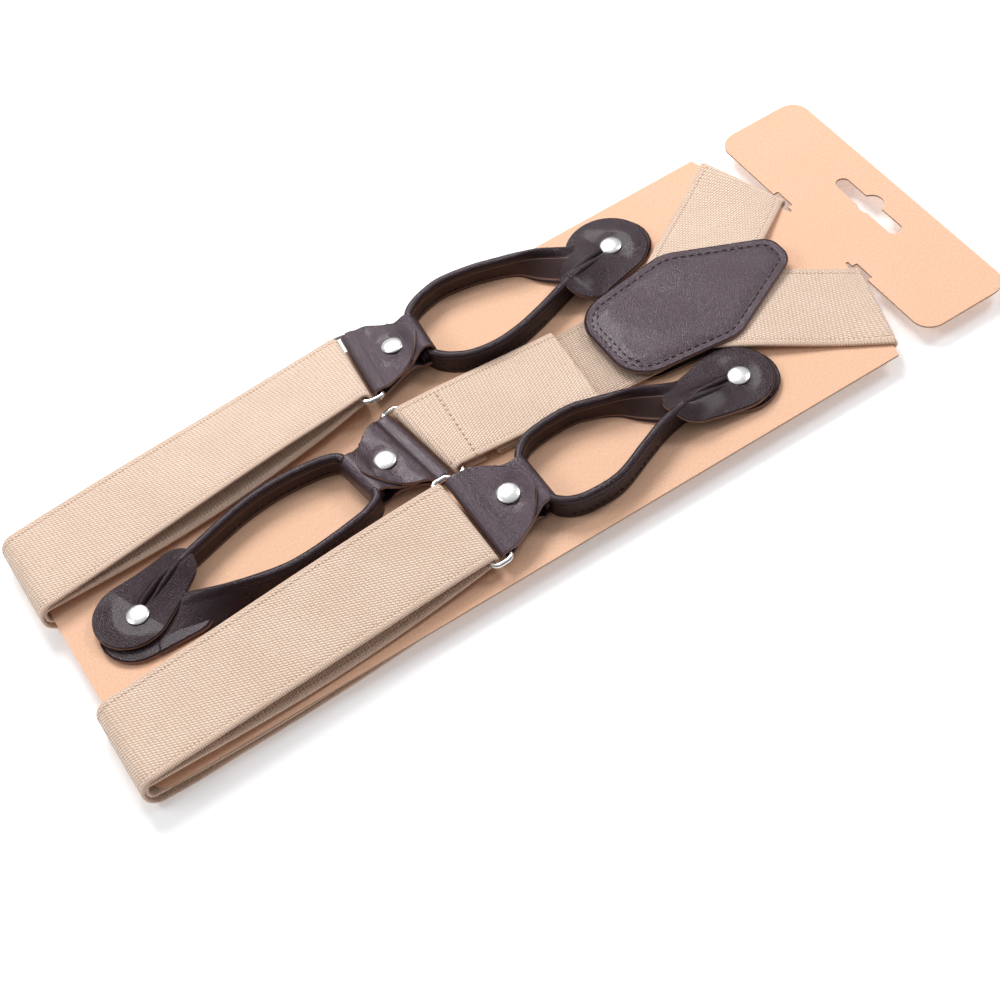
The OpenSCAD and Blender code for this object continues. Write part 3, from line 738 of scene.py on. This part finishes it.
def place(name, local):
    """Local points of a strap end (x towards the loop, from the strap bar) to card millimetres."""
    c, yaw, roll = ENDS[name][:3]
    p = np.asarray(local, float)
    y = p[..., 1] * cos(roll) - p[..., 2] * sin(roll)
    z = p[..., 1] * sin(roll) + p[..., 2] * cos(roll)
    x = p[..., 0]
    return np.stack([x * cos(yaw) - y * sin(yaw), x * sin(yaw) + y * cos(yaw), z], -1) + c


def even(line, step):
    """Points evenly along a line, and their distance along it."""
    run = run_of(line)
    t = np.linspace(0, run[-1], max(3, int(run[-1] / step) + 1))
    return np.stack([np.interp(t, run, line[:, k]) for k in range(line.shape[1])], 1), t


def tab(name):
    end = ENDS[name]
    base = 0.25 - end[0][2] + abs(sin(end[2])) * TUNNEL_W / 2
    stack = end[3] - end[0][2]
    h = HIDE_T / 2
    r = WIRE_R + 0.1 + h
    half_w = STRAP_W / 2
    flat_z = stack + 3 * HIDE_T + 0.1 - h
    tunnel_z = base + 8.3
    tip_u, tip_z = 20.3, tunnel_z + HIDE_T

    # Flap: from under the bar, round its strap side and forward to the round tip
    back = [(-(r + 0.8) * sin(a), -r * cos(a)) for a in np.linspace(-0.5, pi, 18)]
    front = curve([(0, r), (1.5, r - 0.05), (2.7, lerp(r, flat_z, 0.30) - 0.45),
                   (4.4, lerp(r, flat_z, 0.75) - 0.25), (7.0, flat_z), (11.5, flat_z),
                   (15.0, lerp(flat_z, tip_z, 0.32)), (18.2, lerp(flat_z, tip_z, 0.86)), (tip_u, tip_z)], 8)
    line = np.array(back + front[1:].tolist())
    run = run_of(line)
    fore, fore_run = line[len(back) - 1:], run[len(back) - 1:]

    us = tip_u - (tip_u - 1.0) * np.linspace(1, 0, 120) ** 2
    taper = np.clip((us - 1.0) / (tip_u - 1.0), 0, 1)
    rim = np.stack([np.interp(us, fore[:, 0], fore_run), half_w * (1 - taper ** 1.7) ** (1 / 1.55)], 1)
    rim = np.vstack([[[0.0, half_w], [fore_run[0] * 0.5, half_w]], rim])
    length = run_of(rim)
    split = float(np.interp(13.5, us, length[2:]))

    def on_rim(d, sgn):
        return np.stack([np.interp(d, length, rim[:, 0]), sgn * np.interp(d, length, rim[:, 1])], -1)

    # A grid stretched between the straight end, the two sides and the tip
    rows, cols = 54, 41
    k = np.linspace(0, 1, rows)[:, None]
    t = np.linspace(0, 1, cols)[None, :]
    up, down = on_rim(k[:, 0] * split, 1)[:, None], on_rim(k[:, 0] * split, -1)[:, None]
    start = np.stack([np.zeros(cols), lerp(-half_w, half_w, t[0])], 1)[None]
    around = length[-1] - (length[-1] - split) * np.abs(t[0] - 0.5) * 2
    tip = np.where((t[0] < 0.5)[:, None], on_rim(around, -1), on_rim(around, 1))[None]
    k, t = k[..., None], t[..., None]
    corner = ((1 - k) * (1 - t) * start[:, :1] + (1 - k) * t * start[:, -1:]
              + k * (1 - t) * tip[:, :1] + k * t * tip[:, -1:])
    g = lerp(start, tip, k) + lerp(down, up, t) - corner
    s, y = g[..., 0], g[..., 1]
    x, z = np.interp(s, run, line[:, 0]), np.interp(s, run, line[:, 1])
    # Pressed in round the rivet, and rippled near the bar
    on = ease((x - 3.5) / 3)
    z = z - on * 0.35 * np.exp(-((np.hypot(x - RIVET_U, y) - 4.6) / 1.8) ** 2)
    z = z + on * 0.25 * np.cos(y * 0.33 + 0.6) * np.exp(-((x - 5.5) / 2.5) ** 2)
    parts = Parts()
    parts.add(slab(place(name, np.stack([x + RING_GAP, y, z], -1)), HIDE_T, weave=np.stack([y, s], 2)))

    # Under-layer, tunnel over the thong, and back between the layers
    o = THONG_U + 2.3
    low = [(0.9, -r), (3.2, lerp(-r, stack + h, 0.35)), (8, stack + h), (14.0, stack + h - 0.2),
           (17.4, base + h + 0.2), (19.2, base + h), (o - 1.0, base + h), (o, base + 1.8),
           (o + 0.1, tunnel_z - 2.6), (o - 0.8, tunnel_z - 0.6), (o - 2.6, tunnel_z)]
    high = [(q, float(np.interp(q, fore[:, 0], fore[:, 1])) - HIDE_T) for q in (18.4, 16, 13.5, 11, 8)]
    pts, t = even(curve(low + high, 8), 0.5)
    cols = 23
    y = np.interp(pts[:, 0], [0, 1.5, 17.5, 26], [half_w, half_w, 10.2, 9.9])
    y = y[:, None] * np.linspace(-1, 1, cols)
    x, z, t = (np.repeat(q[:, None], cols, 1) for q in (pts[:, 0] + RING_GAP, pts[:, 1], t))
    parts.add(slab(place(name, np.stack([x, y, z], -1)), HIDE_T, weave=np.stack([y, t], 2)))
    parts.build(name + "_tab_leather", name + "_tab", "leather", LEATHER, [name + "_tab"])


def lathe(profile, m=64):
    """Revolves (r, z) points about Z; the first and last lie on the axis."""
    v, f = [[0, 0, profile[0][1]]], []
    for r, z in profile[1:-1]:
        for a in np.linspace(0, 2 * pi, m, endpoint=False):
            v.append([r * cos(a), r * sin(a), z])
    v.append([0, 0, profile[-1][1]])
    n = len(profile) - 2
    for j in range(m):
        k = (j + 1) % m
        f.append([0, 1 + k, 1 + j])
        for i in range(n - 1):
            a, b = 1 + i * m, 1 + (i + 1) * m
            f.append([a + j, a + k, b + k, b + j])
        f.append([len(v) - 1, 1 + (n - 1) * m + j, 1 + (n - 1) * m + k])
    return np.array(v, float), f


def cap_profile(shank):
    """Domed cap from the underside of its shank up to the crown."""
    return [(0, -shank), (1.35, -shank), (1.5, 0.15 - shank), (1.5, -0.02), (3.5, -0.02), (3.84, 0.05),
            (3.96, 0.22), (3.88, 0.42), (3.6, 0.60), (3.1, 0.78), (2.4, 0.94), (1.6, 1.04), (0.8, 1.09),
            (0, 1.10)]


def back_profile(height):
    """Flat back of a rivet, with a soft rim."""
    return [(0, 0), (3.4, 0), (3.7, 0.1), (3.8, height / 2), (3.75, height - 0.1), (3.5, height),
            (1.8, height), (0, height)]


def turned(name, profile, at, body, mat, replaces, end_name=None):
    """A rivet part at a card position, or at a strap end's own position when the end is named."""
    v, f = lathe(profile)
    v = v + at if end_name is None else place(end_name, v + at)
    piece(name, v, f, body, mat, None, [replaces])


def tube(path, radii, sides, closed):
    """A round tube through points; closed joins its last ring to its first."""
    p = np.asarray(path, float)
    n = len(p)
    r = np.broadcast_to(radii, n)
    t = (np.roll(p, -1, 0) - np.roll(p, 1, 0)) if closed else np.gradient(p, axis=0)
    t /= np.linalg.norm(t, axis=1)[:, None]
    b = np.cross(t, Z)
    b /= np.linalg.norm(b, axis=1)[:, None]
    up = np.cross(b, t)
    v = []
    for i in range(n):
        for a in np.linspace(0, 2 * pi, sides, endpoint=False):
            v.append(p[i] + (b[i] * cos(a) + up[i] * sin(a)) * r[i])
    f = grid_faces(n, sides, flip=True)
    if not closed:
        return np.array(v), f + end_caps(n, sides, flip=True)
    last = (n - 1) * sides
    for j in range(sides):
        k = (j + 1) % sides
        f.append([last + k, k, j, last + j])
    return np.array(v), f


def ring(name):
    half = (STRAP_W + 1.8) / 2 + WIRE_R
    r = 2.2
    path = []
    corners = ((RING_GAP - r, half - r), (r, half - r), (r, r - half), (RING_GAP - r, r - half))
    for i, (cx, cy) in enumerate(corners):
        for a in np.radians(np.linspace(90 * i, 90 * i + 90, 12)):
            path.append((cx + r * cos(a), cy + r * sin(a), 0))
    full = []
    for a, b in zip(path, path[1:] + path[:1]):
        n = max(1, int(np.linalg.norm(np.subtract(b, a)) / 2.5))
        full += [lerp(np.array(a, float), np.array(b, float), j / n) for j in range(n)]
    v, f = tube(full, WIRE_R, 20, closed=True)
    piece(name + "_ring_wire", place(name, v), f, name + "_ring", WIRE, None, [name + "_ring"])


# ---------------------------------------------------------------- thongs and their round ends

def thong_profile():
    """Half section of a folded thong standing on edge: rolled top, pinch, two plies sewn near the foot."""
    return np.array([(0.0, 0.95), (0.35, 1.08), (1.3, 1.12), (1.9, 1.02), (2.5, 1.12), (4.5, 1.20),
                     (5.9, 1.18), (6.35, 1.05), (6.8, 1.25), (7.3, 1.46), (7.9, 1.50), (8.4, 1.36),
                     (8.75, 1.02), (8.95, 0.5), (9.0, 0.0)])


def thong(route, tail, inner):
    """Sweeps the thong section along a route standing on edge, squeezed inside the tunnel. The tail, if any,
    lists (middle, tilt, width, thickness) where it leans over and widens into a round end. inner is the side
    (+1 left of travel) whose face gets the painted reflection of the kraft card."""
    p = curve(route, 7)
    k = np.linspace(0, 1, len(p))
    tall = THONG_H * (0.84 + 0.16 * ease((k - 0.05) / 0.09))
    rows = np.column_stack([p, THONG_FOOT_Z + tall / 2, np.zeros(len(p)), tall, np.ones(len(p))])
    if tail:
        q = np.array([[*m, tilt, w, h / 2.4] for m, tilt, w, h in tail], float)
        par, fine = np.linspace(0, 1, len(q)), np.linspace(0, 1, 44)
        q = np.array([np.interp(fine, par, q[:, j]) for j in range(6)]).T
        start = len(rows) - 3
        rows = np.vstack([rows[:start + 1], q])
        for _ in range(14):
            rows[start - 4:-1] = (rows[start - 5:-2] + 2 * rows[start - 4:-1] + rows[start - 3:]) / 4
    mid, tilt, wide, thick = rows[:, :3], np.radians(rows[:, 3]), rows[:, 4], rows[:, 5]
    t = np.gradient(mid, axis=0)
    t[:, 2] = 0
    t /= np.linalg.norm(t, axis=1)[:, None]
    left = np.cross(Z, t)
    run = run_of(mid)
    half = thong_profile()
    sec = np.vstack([half, half[-2::-1] * [1, -1]])
    v, att = [], []
    for i in range(len(mid)):
        up = Z * cos(tilt[i]) - left[i] * sin(tilt[i])
        out = left[i] * cos(tilt[i]) + Z * sin(tilt[i])
        for hh, ww in sec:
            v.append(mid[i] + up * (hh / THONG_H - 0.5) * wide[i] + out * ww * thick[i])
            # The inner face's middle band gets the painted reflection of the kraft card.
            painted_card_reflection = 2.0 if 1.2 < hh < 6.2 and ww * inner > 0 else 0.0
            att.append([hh, run[i], 0.8 if hh < 0.3 else painted_card_reflection])
    n, m = len(mid), len(sec)
    return np.array(v), grid_faces(n, m) + end_caps(n, m), np.array(att)


def thong_stitches(route, face, k0, k1):
    """Stitch row on one face near the thong's foot, from k0 to k1 of the route."""
    q, t = even(curve(route, 7), 2.4)
    d = np.gradient(q, axis=0)
    parts = []
    for at, along, k in zip(q, d, t / t[-1]):
        if k0 < k < k1:
            along = unit([*along, 0])
            out = np.cross(Z, along) * face
            at = np.array([*at, THONG_FOOT_Z + 1.9]) + out * 1.08
            parts.append(stitch_shell(at, along, out, 1.5, 0.21, 0.0))
    return parts


def ridge_end(corners, stud, entry, slit, wide):
    """Round end pulled up into a ridge from the thong's entry to the stud, with a slit beside it."""
    s, e = np.array(stud, float), np.array(entry, float)
    u = unit(e - s)
    length = np.linalg.norm(e - s)
    v = np.array([-u[1], u[0]])
    loop = resample(outline(corners, 24), 220)
    ang = (np.arctan2(loop[:, 1] - s[1], loop[:, 0] - s[0]) - atan2(u[1], u[0])) % (2 * pi)
    order = np.argsort(ang)
    loop, ang = loop[order], ang[order]
    ends = [np.linalg.norm(loop[-1] - s), np.linalg.norm(loop[0] - s)]
    rim = s + u * np.interp(0, [ang[-1] - 2 * pi, ang[0]], ends)
    loop = np.vstack([rim, loop, rim])
    floor_z = UPPER_Z + PADDLE_T / 2
    rows = []
    for k in np.linspace(0, 1, 34) ** 0.85:
        p = s + (loop - s) * k
        x, y = (p - s) @ u, (p - s) @ v
        ridge = (RIDGE_TOP_Z - floor_z) * np.clip((x - 2.0) / (length - 2.0), 0, 1) ** 0.9
        w = wide + 0.08 * np.clip(x, 0, 30)
        z = ridge * np.exp(-(np.abs(y) / w) ** 1.45)
        d = np.hypot(x, y)
        z += 0.55 * np.exp(-((d - 8.0) / 3.2) ** 2) * ease((3 - x) / 9)
        dip = 2.0 * ease((x - 2.0) / 3) * (1 - ease((x - length * 0.62) / (length * 0.3)))
        z -= dip * np.exp(-((y * slit - 0.9) / 0.62) ** 2)
        z += 0.3 * dip * np.exp(-((y * slit - 2.4) / 0.8) ** 2)
        rows.append(np.column_stack([p, floor_z + z]))
    return slab(np.array(rows), PADDLE_T)


def rolled_edge(points, radii):
    """A tube through points whose radius changes along it."""
    p = curve(points, 6)
    r = np.interp(np.linspace(0, 1, len(p)), np.linspace(0, 1, len(radii)), radii)
    v, f = tube(p, r, 14, closed=False)
    return v, f, np.zeros((len(v), 3))


# Each loop in card millimetres: its two thongs, the stud, the circles round its two flat ends, and the
# flare's (middle, tilt, width, thickness)
ROUTES = {
    "left": {
        "far": [[155.8, 54.4], [159.5, 57.2], [165.5, 59.4], [173, 60.4], [186, 58], [198, 53.6]],
        "near": [[154.2, 31.6], [158, 27.6], [164, 24.2], [173, 22.7], [183, 23.8], [193, 26.6],
                 [202, 29.8], [209, 32.2]],
        "stud": [230, 40],
        "upper": [((228.4, 40.4), 14.8), ((214.6, 31.2), 9.6)],
        "lower": [((231.2, 40.6), 13.6), ((220, 43), 9)],
        "flare": [((197.5, 53.8, 4.8), -3, 9.0, 2.6), ((201.5, 51.0, 4.7), -24, 10, 2.2),
                  ((204.8, 48, 4.5), -46, 11.8, 1.8), ((209.5, 44.2, 4.0), -60, 13, 1.5),
                  ((215, 41.5, 2.8), -78, 15, 1.3), ((222, 40.5, 1.6), -89, 18, 1.3)],
    },
    "right": {
        "far": [[153, -23.6], [156, -20.4], [161, -18], [170, -17], [179, -17.6], [188, -21]],
        "near": [[153.4, -46.4], [157.3, -49.6], [164, -51.2], [175, -50.6], [188, -45.2],
                 [198, -41.2], [208, -39]],
        "stud": [230, -37.2],
        "upper": [((228, -36.6), 13.8), ((211.8, -37.2), 10.2)],
        "lower": [((230, -37.6), 13.4), ((218, -35), 9)],
        "flare": [((187.5, -20.8, 4.8), -3, 9, 2.6), ((192.5, -23.3, 4.7), -18, 9.8, 2.2),
                  ((197, -26.8, 4.5), -42, 11.5, 1.8), ((202, -30.4, 4.0), -56, 12.6, 1.5),
                  ((208, -33.4, 2.8), -76, 15, 1.3), ((216, -35, 1.6), -89, 18, 1.3)],
    },
    "centre": {
        "far": [[105.2, 13.2], [101, 15.4], [92, 16.8], [82, 17.2], [72, 16.2], [62, 13.8],
                [52, 10.8], [43, 8]],
        "near": [[107, -9.8], [101.6, -12.6], [92, -14.4], [80, -15.8], [71, -15.8], [64, -14.6]],
        "stud": [23.3, 1],
        "upper": [((21.8, 2.6), 13.2), ((39.8, 7.4), 8.2)],
        "wide": 8.5,
        "lower": [((21.5, -2.2), 13.2), ((38, -8), 8)],
        "flare": [((64.5, -14.8, 4.8), 3, 9, 2.6), ((57, -13.6, 4.4), 24, 9.6, 2.2),
                  ((49, -12, 3.9), 45, 11, 1.8), ((41, -10, 3.0), 62, 14, 1.5),
                  ((33, -7.5, 1.9), 80, 18, 1.3), ((26, -5.5, 1.5), 89, 21, 1.3)],
    },
}


def axle(name):
    """The thong's middle, hidden in the tab's tunnel."""
    h = AXIS_H - ENDS[name][0][2]
    n, m = 12, 20
    v = []
    for y in np.linspace(-TUNNEL_W / 2, TUNNEL_W / 2, n):
        for a in np.linspace(0, 2 * pi, m, endpoint=False):
            v.append([RING_GAP + THONG_U + AXLE_R * cos(a), y, h + AXLE_R * sin(a)])
    return place(name, np.array(v)), grid_faces(n, m) + end_caps(n, m), np.zeros((len(v), 3))


def from_tunnel(name, route):
    """A thong's route with its first stretch inside the tab's tunnel."""
    u = RING_GAP + THONG_U
    d = np.array(route[0]) - place(name, [u, 0, 0])[:2]
    sgn = 1 if d @ side(ENDS[name][1])[:2] > 0 else -1
    return place(name, [[u, sgn * 5.0, 0], [u + 0.6, sgn * 8.6, 0]])[:, :2].tolist() + route


def loop_piece(name):
    r = ROUTES[name]
    # The raised thong runs up the ridge to the stud, the other one widens into the lower end
    raised, lowered, sgn = ("far", "near", 1) if name == "centre" else ("near", "far", -1)
    inner = {"far": sgn, "near": -sgn}
    leather = Parts().add(axle(name))
    for which in ("far", "near"):
        leather.add(thong(from_tunnel(name, r[which]), r["flare"] if which == lowered else [], inner[which]))
    s, e = np.array(r["stud"], float), np.array(r[raised][-1], float)
    v = np.array([s[1] - e[1], e[0] - s[0]]) / np.linalg.norm(e - s)
    lip = 0.35 * -sgn
    path = [[*(lerp(s, e, k) + v * lip * (1 - k) * 3), z] for k, z in
            ((1.05, 8.0), (0.85, 7.55), (0.68, 6.75), (0.52, 5.8), (0.38, 4.9), (0.27, 4.2))]
    leather.add(rolled_edge(path, [1.45, 1.42, 1.3, 1.1, 0.85, 0.55]))
    leather.add(ridge_end(r["upper"], r["stud"], e, sgn, r.get("wide", 6.4)))

    def low_height(x, y):
        return LOWER_Z + PADDLE_T / 2 - 0.25 * ease((np.hypot(x - s[0], y - s[1]) - 9) / 5)

    leather.add(disc(resample(outline(r["lower"], 16), 120), s, low_height, PADDLE_T, rings=14))
    leather.build(name + "_loop_leather", name + "_loop", "leather", THONG_LEATHER, [name + "_loop"])

    rows = [(which, inner[which], 0.94 if which == lowered else 0.74) for which in ("far", "near")]
    if name != "centre":
        rows.append(("near", -inner["near"], 0.74))
    sewing = Parts()
    for which, face, until in rows:
        for shell in thong_stitches(r[which], face, 0.06, until):
            sewing.add(shell)
    sewing.build(name + "_loop_sewing", name + "_loop", "patch_thread", DARK_THREAD)


# ---------------------------------------------------------------- the object

side_strap("left", 1, 37.4, -2.6, -2.6)
side_strap("right", -1, -41.6, -2.4, -1.4)
centre_strap()
patch()
centre_sewing()
for n in ("left", "right", "centre"):
    ring(n)
    tab(n)
    loop_piece(n)
    stack = ENDS[n][3] - ENDS[n][0][2]
    for suffix, profile, z, mat in (("", cap_profile(3 * HIDE_T + 0.1), stack + 3 * HIDE_T, CAPS),
                                    ("_back", back_profile(0.7), stack - 0.75, STAMPING)):
        turned(n + "_tab_cap" + suffix, profile, np.array([RING_GAP + RIVET_U, 0, z]), n + "_tab", mat,
               n + "_tab_rivet" + suffix, n)
    top = UPPER_Z + PADDLE_T + 0.05
    for suffix, part, profile, z, mat in (("_cap", "", cap_profile(top - 0.75), top, CAPS),
                                          ("_back", "_back", back_profile(0.6), 0.1, STAMPING)):
        turned(n + "_stud" + suffix, profile, np.array([*ROUTES[n]["stud"], z]), n + "_loop", mat,
               n + "_loop_stud" + part)


def dress(name, mat, bevel=0.0):
    """Gives a CAD part its material, and soft edges if bevel is set (metres)."""
    ob = nodes[name]
    ob.data.materials.clear()
    ob.data.materials.append(mat)
    if bevel:
        b = ob.modifiers.new("soft edges", "BEVEL")
        b.width, b.segments, b.limit_method, b.angle_limit = bevel, 2, "ANGLE", radians(40)


dress("display_card", CARD, 0.00012)
for n in ("left", "right"):
    dress(n + "_adjuster_frame", STAMPING, 0.00025)
    dress(n + "_adjuster_lever", STAMPING, 0.0002)
    dress(n + "_adjuster_pin", STAMPING)
    dress(n + "_strap_end", WEBBING, 0.0003)

# ---------------------------------------------------------------- floor, light and camera

floor_mesh = bpy.data.meshes.new("floor")
floor_mesh.from_pydata([(-4, -4, 0), (4, -4, 0), (4, 4, 0), (-4, 4, 0)], [], [(0, 1, 2, 3)])
floor = bpy.data.objects.new("floor", floor_mesh)
bpy.context.scene.collection.objects.link(floor)
paper = Tree("white sweep")
floor_mesh.materials.append(paper.set(Base_Color=(0.93, 0.93, 0.94), Roughness=0.9, Specular_IOR_Level=0.1,
                                  Emission_Color=(1.0, 1.0, 1.0), Emission_Strength=0.22))

world = bpy.data.worlds.new("studio")
bpy.context.scene.world = world
world.use_nodes = True
wt = world.node_tree
sky = wt.nodes.new("ShaderNodeTexCoord")
way = wt.nodes.new("ShaderNodeSeparateXYZ")
wt.links.new(sky.outputs["Generated"], way.inputs[0])
lift = wt.nodes.new("ShaderNodeMath")
lift.operation = "MULTIPLY_ADD"
wt.links.new(way.outputs[1], lift.inputs[0])
lift.inputs[1].default_value = 0.55
wt.links.new(way.outputs[2], lift.inputs[2])
ramp = wt.nodes.new("ShaderNodeMapRange")
wt.links.new(lift.outputs[0], ramp.inputs[0])
for i, value in ((1, -0.3), (2, 1.15), (3, 0.10), (4, 0.60)):
    ramp.inputs[i].default_value = value
wt.links.new(ramp.outputs[0], wt.nodes["Background"].inputs[1])
wt.nodes["Background"].inputs[0].default_value = (0.97, 0.98, 1.0, 1.0)


def area(name, at, size, power):
    """A square light that points at the origin."""
    light = bpy.data.lights.new(name, "AREA")
    light.size, light.energy = size, power
    ob = bpy.data.objects.new(name, light)
    ob.location = at
    ob.rotation_euler = (-Vector(at)).to_track_quat("-Z", "Y").to_euler()
    bpy.context.scene.collection.objects.link(ob)


area("key", (0.15, 0.85, 0.95), 0.50, 11.0)
area("side", (-0.75, 0.35, 0.80), 0.35, 2.6)
area("right", (0.85, 0.05, 0.85), 0.30, 3.4)

cam_data = bpy.data.cameras.new("camera")
cam_data.sensor_width, cam_data.lens = 36.0, 72.0
cam_data.clip_end = 20
cam = bpy.data.objects.new("camera", cam_data)
spot = (np.array([2.456, -406.454, 507.509]) + STAND) * 0.001
aim = Euler([radians(a) for a in (37.5167, 8.734, -31.3473)])
cam.matrix_world = Matrix.LocRotScale(Vector(spot), aim, None)
bpy.context.scene.collection.objects.link(cam)
bpy.context.scene.camera = cam
bpy.context.scene.view_settings.view_transform = "Standard"
